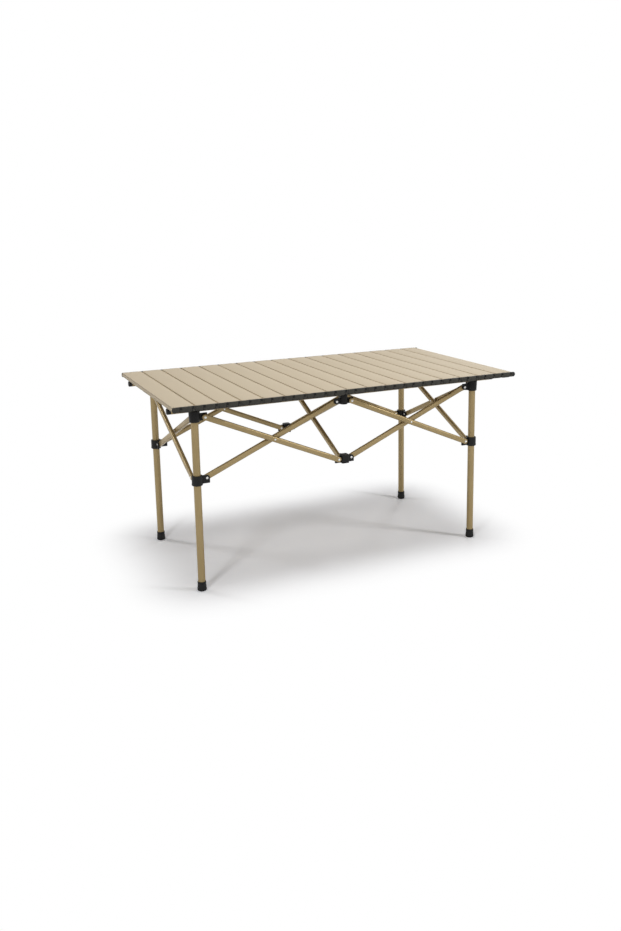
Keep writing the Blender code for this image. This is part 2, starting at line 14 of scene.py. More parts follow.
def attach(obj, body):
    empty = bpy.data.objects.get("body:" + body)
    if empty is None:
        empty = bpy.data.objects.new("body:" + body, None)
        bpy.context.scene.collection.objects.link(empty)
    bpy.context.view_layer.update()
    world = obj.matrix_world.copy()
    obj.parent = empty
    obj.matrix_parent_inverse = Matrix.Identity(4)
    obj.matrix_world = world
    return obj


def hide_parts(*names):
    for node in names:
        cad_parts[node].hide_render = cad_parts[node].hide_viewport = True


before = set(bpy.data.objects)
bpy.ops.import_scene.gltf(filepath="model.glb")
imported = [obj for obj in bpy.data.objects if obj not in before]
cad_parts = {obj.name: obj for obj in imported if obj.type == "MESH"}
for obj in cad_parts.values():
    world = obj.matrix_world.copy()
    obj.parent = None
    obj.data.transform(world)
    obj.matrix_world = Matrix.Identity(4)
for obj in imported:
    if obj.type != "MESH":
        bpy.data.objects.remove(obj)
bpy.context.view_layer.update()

# Clearance and slats
GAP = 0.0003
SLIDE_GAP = 0.0005
SLAT_COUNT = 17
SLAT_PITCH = 0.058
SLAT_THICKNESS = 0.014
SLAT_WALL = 0.0012
SLAT_LIP = 0.004
SLAT_DRAW = 0.005
SLAT_SIDE = 0.004
SLAT_EASE = 0.0009
GROOVE_WIDTH = 0.0050
GROOVE_DRAFT = 0.0002
GROOVE_FLOOR = -0.0004
LEDGE_SLOPE = 0.0006
SLOT_WIDTH = 0.0008
HINGE_INSET = 0.0035
HINGE_DROP = 0.004
TOP_DEPTH = 0.550
TOP_HEIGHT = 0.500

# Slat end caps
CAP_CHEEK = 0.0024
CAP_TONGUE = 0.0024
CAP_STEP = 0.0006
CAP_SEAMS = (0.020, 0.050)
CAP_SEAM_GAP = 0.0014
CAP_NOTCH = (0.0044, 0.0066)
CAP_EASE = 0.0030
CAP_SLOPE = 0.0014
# How far behind a cap's face the painted shade begins and where it is full
CAP_SHADE = (0.0010, 0.0016)
CAP_CORNER = 0.0008
CAP_EDGE = 0.0006
TONGUE_RADIUS = 0.0066
TONGUE_ROOT = 0.012
TONGUE_TRIM = 0.0005
TONGUE_EDGE = 0.0004
PIN_RADIUS = 0.0021
PIN_SHOULDER = 0.0006
PIN_HEAD = 0.0007

# Rails, legs and feet
RAIL_RADIUS = 0.008
RAIL_HALF = 0.480
RAIL_CAP = 0.010
RAIL_CAP_ROUND = 0.002
RAIL_CAP_PLUG = 0.012
FRAME_SHIFT = -0.009
LEG_INSET = 0.082
LEG_RADIUS = 0.0095
TUBE_WALL = 0.0012
FOOT_RADIUS = 0.0122
FOOT_TOP_RADIUS = 0.0112
FOOT_HEIGHT = 0.025
FOOT_FLOOR = 0.006
FOOT_ROUND = 0.003
FOOT_GROOVE = 0.018
FOOT_GROOVE_HALF = 0.001
FOOT_GROOVE_DEPTH = 0.0006
FOOT_RIM = 0.0008

# Brackets
SLEEVE_RADIUS = 0.0142
SLEEVE_TAPER = 0.0011
SLEEVE_ROOF = 0.004
TOP_PIVOT_DROP = 0.0144
TOP_SLEEVE_DROP = 0.011
COLLAR_ABOVE = 0.0095
COLLAR_BELOW = 0.016
COLLAR_BAND = (0.001, 0.0055)
COLLAR_BAND_STEP = 0.0005
HUB_RADIUS = 0.0105
HUB_WALL = 0.003
HUB_CORNER = 0.004
HUB_EDGE = 0.0010
TOP_HUB_DROP = 0.008
LOW_HUB_ABOVE = 0.011
LOW_HUB_BELOW = 0.0125
SADDLE_DEPTH = 0.0035
EDGE_CUT = 0.0012
LUG_THICKNESS = 0.004
LUG_RADIUS = 0.0075
LUG_CORNER = 0.0015
LUG_EDGE = 0.0005
LUG_ROOT = 0.0024
COLLAR_LUG_ROOT = 0.0026
HUB_LUG_ROOT = 0.0015
LEG_LUG = 0.0255
CENTRE_LUG = 0.0205
RIB_HALF = 0.0034
RIB_SUNK = 0.003
RIB_STEP = 0.0006
RIB_TAPER = 0.001
RIB_EDGE = 0.0008

# Scissor bars and rivets
BAR_HEIGHT = 0.015
BAR_THICKNESS = 0.008
BAR_BULGE = 0.0116
BAR_FLAT = 0.022
BAR_BLEND = 0.030
BAR_PINCH = 0.0012
BAR_END_TURN = 84
BAR_END_SQUARENESS = 5.0
BAR_MIDDLE_SQUARENESS = 2.7
BAR_STEPS = 8
RIVET_RADIUS = 0.0025
RIVET_HEAD_RADIUS = 0.0032
RIVET_HEAD = 0.0014
RIVET_SUNK = 0.0002
SPACER_RADIUS = 0.0055
LOW_PIVOT = 0.297

# Places that follow from the sizes above
SLAT_LEFT = -SLAT_COUNT * SLAT_PITCH / 2
SLAT_END = TOP_DEPTH / 2 - CAP_CHEEK - CAP_TONGUE - 2 * GAP
RAIL_HEIGHT = TOP_HEIGHT - SLAT_THICKNESS - GAP - RAIL_RADIUS
SADDLE_FLOOR = RAIL_HEIGHT - RAIL_RADIUS - GAP
TOP_PIVOT = SADDLE_FLOOR - TOP_PIVOT_DROP
LEG_X = -SLAT_LEFT - LEG_INSET
BAR_SPAN = LEG_X - LEG_LUG - CENTRE_LUG
END_LUG = (LEG_LUG + CENTRE_LUG) / 2
LEG_Y = BAR_SPAN / 2 + END_LUG
LEG_TOP = SADDLE_FLOOR - SLEEVE_ROOF - GAP
BAR_OFFSET = LUG_THICKNESS / 2 + GAP + BAR_THICKNESS / 2
BAR_REACH = math.hypot(BAR_SPAN, TOP_PIVOT - LOW_PIVOT)

FRONT = Matrix.Translation((FRAME_SHIFT, 0, 0))
BACK = FRONT @ Matrix.Rotation(math.pi, 4, "Z")

# Fineness of the meshes: sides of round pieces, and degrees past which an edge stays sharp
ROUND_SIDES = 40
BAR_SIDES = 28
RIVET_SIDES = 24
SHANK_SIDES = 20
SHARP_ANGLE = 32
CAP_SHARP_ANGLE = 40

# Noises: where they start, off the pieces' axes, and the part of their range that shows
NOISE_PLACE = (0.317, 0.173, 0.431)
NOISE_RANGE = (0.3, 0.7)
FINE_GRAIN = 1800.0
COAT_DRIFT = 0.04

# The floor under and round the table: inside this box it shows its shadow, past the fade it is white
FLOOR_HALF = 15
FLOOR_DROP = 0.0002
SHADOW_MIDDLE = (0.0, 0.034, 0.0)
SHADOW_HALF = (0.372, 0.186, 1.0)
SHADOW_FADE = 0.263
FLOOR_SEEN = (1.26, 1.27, 1.31, 1)
FLOOR_BOUNCED = (0.8, 0.8, 0.8, 1)
WHITE = (1, 1, 1, 1)

# Light: the world's level, one wide lamp above, and four smaller ones round the table
WORLD_LEVEL = 0.15
OVERHEAD_PLACE = (0.1, -0.1, 2.4)
OVERHEAD_SIZE = (1.3, 0.9)
OVERHEAD_POWER = 20
RING_TARGET = (0, 0, 0.2)
RING_SIZE = (0.4, 0.4)
RING_LAMPS = {
    "front_left": ((-1.9, -1.8, 1.7), 15),
    "front_right": ((1.9, -1.8, 1.7), 20),
    "back_left": ((-1.8, 1.8, 1.8), 11),
    "back_right": ((1.8, 1.8, 1.8), 6),
}

# Camera, from a fit to points of the photograph
IMAGE_SIZE = (621, 931)
FOCAL_PX = 881.9
CENTRE_PX = (349.9, 391.5)
CAMERA_PLACE = (-1.0157, -2.2830, 0.9438)
CAMERA_HEADING = math.radians(26.277)
CAMERA_DOWN = math.radians(11.350)
CAMERA_ROLL = math.radians(-0.616)
SENSOR = 36.0


def linear(srgb):
    """An 8-bit sRGB colour as linear RGBA."""
    return (*(((c / 255 + 0.055) / 1.055) ** 2.4 for c in srgb), 1.0)


def new_material(name, roughness, metallic=0.0):
    """A material of one roughness, with its node tree and its Principled BSDF."""
    material = bpy.data.materials.new(name)
    material.use_nodes = True
    tree = material.node_tree
    shader = tree.nodes["Principled BSDF"]
    shader.inputs["Roughness"].default_value = roughness
    shader.inputs["Metallic"].default_value = metallic
    return material, tree, shader


def noise(tree, scale, detail, stretch=(1, 1, 1)):
    """A noise texture in object space, stretched along its axes."""
    coords = tree.nodes.new("ShaderNodeTexCoord")
    mapping = tree.nodes.new("ShaderNodeMapping")
    mapping.inputs["Scale"].default_value = stretch
    mapping.inputs["Location"].default_value = NOISE_PLACE
    texture = tree.nodes.new("ShaderNodeTexNoise")
    texture.inputs["Scale"].default_value = scale
    texture.inputs["Detail"].default_value = detail
    tree.links.new(coords.outputs["Object"], mapping.inputs["Vector"])
    tree.links.new(mapping.outputs["Vector"], texture.inputs["Vector"])
    return texture.outputs["Fac"]


def tinted(tree, shader, factor, dark, light):
    """Colour that drifts between two shades by a factor."""
    ramp = tree.nodes.new("ShaderNodeValToRGB")
    for element, position, colour in zip(ramp.color_ramp.elements, NOISE_RANGE, (dark, light)):
        element.position = position
        element.color = linear(colour)
    tree.links.new(factor, ramp.inputs["Fac"])
    tree.links.new(ramp.outputs["Color"], shader.inputs["Base Color"])


def spread(tree, factor, socket, low, high):
    """Drive a socket from a factor, between two values."""
    span = tree.nodes.new("ShaderNodeMapRange")
    span.inputs["From Min"].default_value, span.inputs["From Max"].default_value = NOISE_RANGE
    span.inputs["To Min"].default_value = low
    span.inputs["To Max"].default_value = high
    tree.links.new(factor, span.inputs["Value"])
    tree.links.new(span.outputs["Result"], socket)


def bumped(tree, shader, factor, strength, distance):
    """Surface relief from a factor."""
    bump = tree.nodes.new("ShaderNodeBump")
    bump.inputs["Strength"].default_value = strength
    bump.inputs["Distance"].default_value = distance
    tree.links.new(factor, bump.inputs["Height"])
    tree.links.new(bump.outputs["Normal"], shader.inputs["Normal"])


def powder_coat(name, dark, light, roughness, metallic, stretch=(1, 1, 1)):
    """Satin champagne coating on aluminium: faint drift in tone, a fine orange-peel grain."""
    material, tree, shader = new_material(name, roughness, metallic)
    shader.inputs["Specular IOR Level"].default_value = 0.35
    drift = noise(tree, scale=9.0, detail=3.0, stretch=stretch)
    peel = noise(tree, scale=1400.0, detail=2.0)
    tinted(tree, shader, drift, dark, light)
    low, high = roughness - COAT_DRIFT, roughness + COAT_DRIFT
    spread(tree, drift, shader.inputs["Roughness"], low, high)
    bumped(tree, shader, peel, strength=0.12, distance=0.00012)
    return material


def moulded_plastic(name, dark, light):
    """Black moulded plastic with a fine spark-eroded grain."""
    material, tree, shader = new_material(name, 0.5)
    shader.inputs["Specular IOR Level"].default_value = 0.25
    drift = noise(tree, scale=60.0, detail=3.0)
    grain = noise(tree, scale=FINE_GRAIN, detail=2.0)
    tinted(tree, shader, drift, dark, light)
    spread(tree, drift, shader.inputs["Roughness"], low=0.42, high=0.56)
    bumped(tree, shader, grain, strength=0.25, distance=0.0001)
    return material


def cap_plastic(dark, light, recess_painted_shade):
    """Dark grey moulded plastic, mottled by its flow, with painted shade that turns it nearly black in
    its deep recesses behind the cap's face.
    """
    material, tree, shader = new_material("cap_plastic", 0.5)
    shader.inputs["Specular IOR Level"].default_value = 0.35
    mottle = noise(tree, scale=260.0, detail=4.0)
    grain = noise(tree, scale=FINE_GRAIN, detail=2.0)
    tinted(tree, shader, mottle, dark, light)
    spread(tree, mottle, shader.inputs["Roughness"], low=0.4, high=0.55)
    bumped(tree, shader, grain, strength=0.25, distance=0.0001)
    # Painted shade: deeper than CAP_SHADE behind the cap's face along Y, the colour mixes into the
    # near-black recess shade
    coords = tree.nodes.new("ShaderNodeTexCoord")
    axes = tree.nodes.new("ShaderNodeSeparateXYZ")
    outward = tree.nodes.new("ShaderNodeMath")
    outward.operation = "ABSOLUTE"
    depth = tree.nodes.new("ShaderNodeMapRange")
    shallow, deep = CAP_SHADE
    depth.inputs["From Min"].default_value = TOP_DEPTH / 2 - deep
    depth.inputs["From Max"].default_value = TOP_DEPTH / 2 - shallow
    shade = tree.nodes.new("ShaderNodeMix")
    shade.data_type = "RGBA"
    shade.inputs["A"].default_value = linear(recess_painted_shade)
    tree.links.new(coords.outputs["Object"], axes.inputs["Vector"])
    tree.links.new(axes.outputs["Y"], outward.inputs[0])
    tree.links.new(outward.outputs["Value"], depth.inputs["Value"])
    tree.links.new(depth.outputs["Result"], shade.inputs["Factor"])
    ramp = shader.inputs["Base Color"].links[0].from_socket
    tree.links.new(ramp, shade.inputs["B"])
    tree.links.new(shade.outputs["Result"], shader.inputs["Base Color"])
    return material


def rivet_steel():
    """Bright zinc-plated rivets, slightly dulled in patches."""
    material, tree, shader = new_material("rivet_steel", 0.3, 1.0)
    patches = noise(tree, scale=400.0, detail=3.0)
    tinted(tree, shader, patches, (196, 196, 194), (228, 228, 226))
    spread(tree, patches, shader.inputs["Roughness"], low=0.24, high=0.4)
    bumped(tree, shader, patches, strength=0.1, distance=0.0001)
    return material


def rounded(points, radius, steps=3):
    """The outline with each corner eased by a short curve."""
    eased = []
    for before, corner, after in zip(points[-1:] + points[:-1], points, points[1:] + points[:1]):
        corner = Vector(corner)
        to_before = Vector(before) - corner
        to_after = Vector(after) - corner
        start = corner + to_before.normalized() * min(radius, to_before.length / 2.01)
        end = corner + to_after.normalized() * min(radius, to_after.length / 2.01)
        for i in range(steps + 1):
            t = i / steps
            eased.append(start.lerp(corner, t).lerp(corner.lerp(end, t), t))
    return [tuple(p) for p in eased]


def arc(centre_x, centre_z, radius, start, end, steps):
    """Points of an arc in X and Z, from one angle in degrees to another."""
    angles = [math.radians(start + (end - start) * i / steps) for i in range(steps + 1)]
    return [(centre_x + radius * math.cos(a), centre_z + radius * math.sin(a)) for a in angles]


def prism(points, start, end, edge=0.0):
    """A closed solid from an outline in X and Z, extruded along Y, its end edges eased."""
    bm = bmesh.new()
    cap = bm.faces.new([bm.verts.new((x, start, z)) for x, z in points])
    grown = bmesh.ops.extrude_face_region(bm, geom=[cap])["geom"]
    far_verts = [v for v in grown if isinstance(v, bmesh.types.BMVert)]
    bmesh.ops.translate(bm, verts=far_verts, vec=(0, end - start, 0))
    bmesh.ops.recalc_face_normals(bm, faces=bm.faces)
    if edge:
        rims = [e for e in bm.edges if abs(e.verts[0].co.y - e.verts[1].co.y) < 1e-7]
        bmesh.ops.bevel(bm, geom=rims, offset=edge, segments=2, profile=0.6, affect="EDGES")
    return bm


def turned(profile, sides=ROUND_SIDES):
    """A solid turned about Z from a closed profile of (radius, height) points."""
    bm = bmesh.new()
    rings = []
    for radius, height in profile:
        if radius == 0:
            rings.append([bm.verts.new((0, 0, height))] * sides)
            continue
        angles = [2 * math.pi * i / sides for i in range(sides)]
        circle = [(radius * math.cos(a), radius * math.sin(a), height) for a in angles]
        rings.append([bm.verts.new(point) for point in circle])
    for ring, after in zip(rings, rings[1:] + rings[:1]):
        for i in range(sides):
            j = (i + 1) % sides
            corners = [ring[i], ring[j], after[j], after[i]]
            corners = [v for n, v in enumerate(corners) if v not in corners[:n]]
            if len(corners) > 2:
                bm.faces.new(corners)
    bmesh.ops.recalc_face_normals(bm, faces=bm.faces)
    return bm


def along_x(bm):
    """Lay a solid that stands along Z along X instead."""
    bm.transform(Matrix.Rotation(math.pi / 2, 4, "Y"))
    return bm


def shifted(bm, x, y, z):
    """Shift a bmesh."""
    bm.transform(Matrix.Translation((x, y, z)))
    return bm


def turned_by(bm, heading):
    """Turn a bmesh about Z by a heading in degrees."""
    bm.transform(Matrix.Rotation(math.radians(heading), 4, "Z"))
    return bm


def as_mesh(name, solids, angle=SHARP_ANGLE):
    """One mesh of several closed solids, smooth but for edges sharper than the angle."""
    mesh = bpy.data.meshes.new(name)
    whole = bmesh.new()
    for bm in solids:
        bm.to_mesh(mesh)
        whole.from_mesh(mesh)
        bm.free()
    whole.to_mesh(mesh)
    whole.free()
    mesh.shade_smooth()
    mesh.set_sharp_from_angle(angle=math.radians(angle))
    return mesh


def cut_out(mesh, cutter_bm):
    """The mesh with a cutter's space taken out of it."""
    body = bpy.data.objects.new("cut_body", mesh)
    cutter = bpy.data.objects.new("cutter", as_mesh("cutter", [cutter_bm]))
    for thing in (body, cutter):
        bpy.context.scene.collection.objects.link(thing)
    step = body.modifiers.new("cut", "BOOLEAN")
    step.operation = "DIFFERENCE"
    step.solver = "EXACT"
    step.object = cutter
    depsgraph = bpy.context.evaluated_depsgraph_get()
    result = bpy.data.meshes.new_from_object(body.evaluated_get(depsgraph))
    result.name = mesh.name
    for thing in (body, cutter):
        bpy.data.objects.remove(thing)
    result.set_sharp_from_angle(angle=math.radians(SHARP_ANGLE))
    return result


def put(name, mesh, material, body, place, replaces=None):
    """Place a shared mesh as a piece that rides on a body."""
    own = mesh.copy()
    own.name = name
    own.materials.clear()
    own.materials.append(material)
    piece = bpy.data.objects.new(name, own)
    bpy.context.scene.collection.objects.link(piece)
    piece.matrix_world = place
    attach(piece, body)
    if replaces:
        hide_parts(replaces)
    return piece


def slat_mesh():
    """A slat about its hinge axis: an extruded channel with eased edges, open underneath."""
    middle = SLAT_PITCH / 2 - HINGE_INSET
    side = SLAT_PITCH / 2 - SLOT_WIDTH / 2
    crest = SLAT_PITCH / 2 - GROOVE_WIDTH / 2
    bottom = HINGE_DROP - SLAT_THICKNESS
    roof = HINGE_DROP - SLAT_WALL
    foot = side - SLAT_DRAW
    half = [
        (crest, HINGE_DROP),
        (crest + GROOVE_DRAFT, GROOVE_FLOOR),
        (side, GROOVE_FLOOR - LEDGE_SLOPE),
        (side, -SLAT_SIDE),
        (foot, bottom),
        (foot - SLAT_LIP, bottom),
        (foot - SLAT_LIP, bottom + SLAT_WALL),
        (foot - SLAT_WALL / 2, bottom + SLAT_WALL),
        (side - SLAT_WALL, GROOVE_DRAFT - SLAT_SIDE),
        (side - SLAT_WALL, GROOVE_FLOOR - SLAT_WALL - LEDGE_SLOPE + GROOVE_DRAFT),
        (crest - SLAT_WALL, GROOVE_FLOOR - SLAT_WALL),
        (crest - SLAT_WALL, roof),
    ]
    outline = [(middle + x, z) for x, z in half] + [(middle - x, z) for x, z in reversed(half)]
    end = SLAT_END + 2 * GAP
    return as_mesh("slat", [prism(rounded(outline, SLAT_EASE), -end, end)])


def cheek_block(left, right, low, high, start, end, notched):
    """One block of a cap's cheek: rounded below, its left upper corner notched if asked."""
    outline = [
        (right, high),
        (right, low + CAP_EASE),
        (right - CAP_EASE, low),
        (left + CAP_EASE, low),
        (left, low + CAP_EASE),
    ]
    if notched:
        width, depth = CAP_NOTCH
        outline += [(left, high - depth), (left + width, high - depth), (left + width, high)]
    else:
        outline += [(left, 0.0), (left + CAP_SLOPE, high)]
    return prism(rounded(outline, CAP_CORNER), start, end, CAP_EDGE)


def pin_head():
    """The domed end of a cap's pin, facing -Y, its flat side on Y = 0."""
    profile = [
        (0, 0),
        (PIN_RADIUS, 0),
        (PIN_RADIUS, GAP),
        (PIN_RADIUS * 0.6, PIN_SHOULDER),
        (0, PIN_HEAD),
    ]
    pin = turned(profile, SHANK_SIDES)
    pin.transform(Matrix.Rotation(math.pi / 2, 4, "X"))
    return pin


def cap_meshes():
    """The front and back end caps of a slat: a cheek in blocks, a plug, a tongue and a pin head."""
    middle = SLAT_PITCH / 2 - HINGE_INSET
    side = SLAT_PITCH / 2 - GAP
    top = HINGE_DROP - GAP
    bottom = HINGE_DROP - SLAT_THICKNESS
    face = -TOP_DEPTH / 2
    cheek_back = face + CAP_CHEEK
    tongue_back = cheek_back + GAP + CAP_TONGUE
    centre_z = (top + bottom) / 2
    socket = TONGUE_RADIUS + abs(centre_z) + GAP
    first, second = (seam - HINGE_INSET for seam in CAP_SEAMS)
    blocks = [
        (middle - side, first - CAP_SEAM_GAP, bottom + CAP_STEP, face + CAP_STEP, False),
        (first, second - CAP_SEAM_GAP, bottom, face, True),
        (second, middle + side, bottom + CAP_STEP, face + CAP_STEP, True),
    ]
    plug = [
        (socket, bottom + CAP_STEP),
        (middle + side - GAP, bottom + CAP_STEP),
        (middle + side - GAP, 0.0),
        (middle + side - CAP_SLOPE, top),
        (socket, top),
    ]
    tongue = [
        (SLAT_PITCH - TONGUE_ROOT, bottom + TONGUE_TRIM),
        *arc(SLAT_PITCH, centre_z, TONGUE_RADIUS, -90, 90, 16),
        (SLAT_PITCH - TONGUE_ROOT, top - TONGUE_TRIM),
    ]
    solids = [
        cheek_block(left, right, low, top, start, cheek_back, notched)
        for left, right, low, start, notched in blocks
    ]
    solids += [
        prism(rounded(plug, CAP_EDGE), cheek_back - GAP, -SLAT_END - GAP),
        prism(tongue, cheek_back + GAP, tongue_back, TONGUE_EDGE),
        shifted(pin_head(), 0, face + CAP_STEP + GAP, centre_z),
    ]
    front = as_mesh("front_cap", solids, CAP_SHARP_ANGLE)
    mirror = bmesh.new()
    mirror.from_mesh(front)
    mirror.transform(Matrix.Scale(-1, 4, (0, 1, 0)))
    bmesh.ops.reverse_faces(mirror, faces=mirror.faces)
    return front, as_mesh("back_cap", [mirror], CAP_SHARP_ANGLE)


def tube_mesh(name, radius, start, end, lay=None):
    """A round tube along Z, or laid along X."""
    bore = radius - TUBE_WALL
    bm = turned([(radius, start), (radius, end), (bore, end), (bore, start)])
    return as_mesh(name, [lay(bm) if lay else bm])


def rail_cap_mesh():
    """A rail's end plug with a softly rounded face towards -X."""
    bore = RAIL_RADIUS - TUBE_WALL
    profile = [
        (0, -RAIL_CAP),
        *arc(RAIL_RADIUS - RAIL_CAP_ROUND, RAIL_CAP_ROUND - RAIL_CAP, RAIL_CAP_ROUND, 270, 360, 5),
        (RAIL_RADIUS, -GAP),
        (bore, -GAP),
        (bore, RAIL_CAP_PLUG),
        (0, RAIL_CAP_PLUG),
    ]
    return as_mesh("rail_cap", [along_x(turned(profile))])


def foot_mesh():
    """A foot cap: a rounded base, a slight taper, a shallow ring groove and an eased rim."""
    waist = FOOT_TOP_RADIUS
    bore = LEG_RADIUS + GAP
    profile = [
        (0, 0),
        *arc(FOOT_RADIUS - FOOT_ROUND, FOOT_ROUND, FOOT_ROUND, 270, 360, 5),
        (waist, FOOT_GROOVE - FOOT_GROOVE_HALF),
        (waist - FOOT_GROOVE_DEPTH, FOOT_GROOVE),
        (waist, FOOT_GROOVE + FOOT_GROOVE_HALF),
        *arc(waist - FOOT_RIM, FOOT_HEIGHT - FOOT_RIM, FOOT_RIM, 0, 90, 4),
        (bore, FOOT_HEIGHT),
        (bore, FOOT_FLOOR),
        (0, FOOT_FLOOR),
    ]
    return as_mesh("foot", [turned(profile)])


def lug_solid(root, reach, low, high, side):
    """A lug: round above its pivot and square below it, or the other way round."""
    tip = reach + LUG_RADIUS
    if side > 0:
        outline = [(root, low), (tip, low), *arc(reach, 0, LUG_RADIUS, 0, 80, 8), (root, high)]
        corner = rounded(outline, LUG_CORNER)[4:8]
        outline = [outline[0], *corner, *outline[2:]]
    else:
        outline = [(root, low), *arc(reach, 0, LUG_RADIUS, -80, 0, 8), (tip, high), (root, high)]
        corner = rounded(outline, LUG_CORNER)[-8:-4]
        outline = [*outline[:-2], *corner, outline[-1]]
    return prism(outline, -LUG_THICKNESS / 2, LUG_THICKNESS / 2, LUG_EDGE)


def rib_solid(root, reach, low, high):
    """The wider root of a lug, which blends it into its bracket."""
    start = root - RIB_SUNK
    end = (root + reach - LUG_RADIUS) / 2
    outline = [
        (start, low + RIB_STEP),
        (end, low + RIB_STEP + RIB_TAPER),
        (end, high - RIB_STEP - RIB_TAPER),
        (start, high - RIB_STEP),
    ]
    return prism(rounded(outline, RIB_TAPER), -RIB_HALF, RIB_HALF, RIB_EDGE)


def lug_solids(root, low, high, lugs, side):
    """The lugs of a bracket whose pivots are at height 0."""
    solids = []
    for heading, reach in lugs:
        solids.append(turned_by(lug_solid(root, reach, low, high, side), heading))
        solids.append(turned_by(rib_solid(root, reach, low, high), heading))
    return solids


def saddle_cutter():
    """The round seat that a rail lies in, about a bracket's pivot height."""
    reach = 2 * SLEEVE_RADIUS
    radius = RAIL_RADIUS + GAP
    seat = turned([(0, -reach), (radius, -reach), (radius, reach), (0, reach)])
    return shifted(along_x(seat), 0, 0, RAIL_HEIGHT - TOP_PIVOT)


def barrel(outer_low, outer_high, bore, low, high, roof=None):
    """A sleeve or hub about the pivot height, with eased rims, open or closed above a roof."""
    inner_top = [(bore, high)] if roof is None else [(0, high), (0, roof), (bore, roof)]
    profile = [
        (bore, low),
        *arc(outer_low - EDGE_CUT, low + EDGE_CUT, EDGE_CUT, 270, 360, 4),
        *arc(outer_high - EDGE_CUT, high - EDGE_CUT, EDGE_CUT, 0, 90, 4),
        *inner_top,
    ]
    return turned(profile)


def top_bracket_mesh(lugs, name):
    """The bracket that caps a leg: a tapered sleeve with a rail seat and two lugs."""
    low = -TOP_SLEEVE_DROP
    high = SADDLE_FLOOR + SADDLE_DEPTH - TOP_PIVOT
    roof = LEG_TOP + GAP - TOP_PIVOT
    bore = LEG_RADIUS + GAP
    sleeve = barrel(SLEEVE_RADIUS - SLEEVE_TAPER, SLEEVE_RADIUS, bore, low, high, roof)
    seat = cut_out(as_mesh(name, [sleeve]), saddle_cutter())
    whole = bmesh.new()
    whole.from_mesh(seat)
    lug_parts = lug_solids(LEG_RADIUS + LUG_ROOT, low + EDGE_CUT, roof, lugs, -1)
    return as_mesh(name, [whole, *lug_parts])


def collar_mesh(lugs, name):
    """The collar that slides on a leg, with a raised band near its lower rim and two lugs."""
    low = -COLLAR_BELOW
    outer = SLEEVE_RADIUS - COLLAR_BAND_STEP
    bore = LEG_RADIUS + SLIDE_GAP
    sleeve = barrel(outer, outer, bore, low, COLLAR_ABOVE)
    band_low, band_high = (low + height for height in COLLAR_BAND)
    band = barrel(SLEEVE_RADIUS, SLEEVE_RADIUS, bore + 2 * SLIDE_GAP, band_low, band_high)
    root = LEG_RADIUS + COLLAR_LUG_ROOT
    lug_parts = lug_solids(root, low + 2 * EDGE_CUT, COLLAR_ABOVE - EDGE_CUT, lugs, 1)
    return as_mesh(name, [sleeve, band, *lug_parts])


def box_hub(low, high):
    """A square hub with rounded corners and eased rims, standing along Z."""
    half = HUB_RADIUS
    square = [(-half, -half), (half, -half), (half, half), (-half, half)]
    bm = prism(rounded(square, HUB_CORNER, 5), low, high, HUB_EDGE)
    bm.transform(Matrix.Rotation(math.pi / 2, 4, "X"))
    return bm


def centre_bracket_mesh(lugs, top, name):
    """The bracket at the middle of a long side, above with a rail seat, or below."""
    low = -TOP_HUB_DROP if top else -LOW_HUB_BELOW
    high = SADDLE_FLOOR + SADDLE_DEPTH - TOP_PIVOT if top else LOW_HUB_ABOVE
    inside = HUB_RADIUS - HUB_WALL
    roof = high - SADDLE_DEPTH - SLEEVE_ROOF
    if top:
        round_hub = barrel(HUB_RADIUS, HUB_RADIUS, inside, low, high, roof)
        hub = cut_out(as_mesh(name, [round_hub]), saddle_cutter())
    else:
        well = turned([(0, low - EDGE_CUT), (inside, low - EDGE_CUT), (inside, roof), (0, roof)])
        hub = cut_out(as_mesh(name, [box_hub(low, high)]), well)
    whole = bmesh.new()
    whole.from_mesh(hub)
    root = HUB_RADIUS - HUB_LUG_ROOT
    lug_high = min(high, LUG_RADIUS + EDGE_CUT)
    lug_parts = lug_solids(root, low + EDGE_CUT, lug_high, lugs, -1 if top else 1)
    return as_mesh(name, [whole, *lug_parts])


def disc(radius, height, sides):
    """A plain round solid on Z = 0."""
    return turned([(0, 0), (radius, 0), (radius, height), (0, height)], sides)


def dome(radius, height):
    """A rivet head: a low dome on Z = 0 with a thin flange."""
    flange = height * 0.35
    crown = radius * 0.86
    curve = [(crown * math.cos(a), flange + (height - flange) * math.sin(a)) for a in (0, 0.4, 0.8, 1.2)]
    return turned([(0, 0), (radius, 0), (radius, flange), *curve, (0, height)], RIVET_SIDES)


def facing_y(bm, sign):
    """Turn a solid that points up +Z towards +Y or -Y."""
    bm.transform(Matrix.Rotation(-sign * math.pi / 2, 4, "X"))
    return bm


def rivets_mesh(lugs, side, name):
    """The rivet heads on a bracket's lugs and on the far side of the bars they hold."""
    solids = []
    lug_face = LUG_THICKNESS / 2
    bar_face = lug_face + GAP + BAR_THICKNESS
    for heading, reach in lugs:
        near = facing_y(dome(RIVET_HEAD_RADIUS, RIVET_HEAD), -side)
        far = facing_y(dome(RIVET_HEAD_RADIUS, RIVET_HEAD), side)
        shank = facing_y(disc(RIVET_RADIUS, bar_face, SHANK_SIDES), side)
        for bm, y in ((near, -side * lug_face), (far, side * bar_face), (shank, 0)):
            solids.append(turned_by(shifted(bm, reach, y, 0), heading))
    return as_mesh(name, solids)


def crossing_rivet_mesh():
    """The rivet where two bars cross, with its washer, about the carrying bar's middle."""
    face = BAR_BULGE / 2 - RIVET_SUNK
    near = facing_y(dome(RIVET_RADIUS, RIVET_HEAD), -1)
    far = facing_y(dome(RIVET_RADIUS, RIVET_HEAD), 1)
    washer = facing_y(disc(SPACER_RADIUS, 2 * BAR_OFFSET - BAR_THICKNESS, RIVET_SIDES), 1)
    places = ((near, -face), (far, 2 * BAR_OFFSET + face), (washer, BAR_THICKNESS / 2))
    return as_mesh("crossing_rivet", [shifted(bm, 0, y, 0) for bm, y in places])


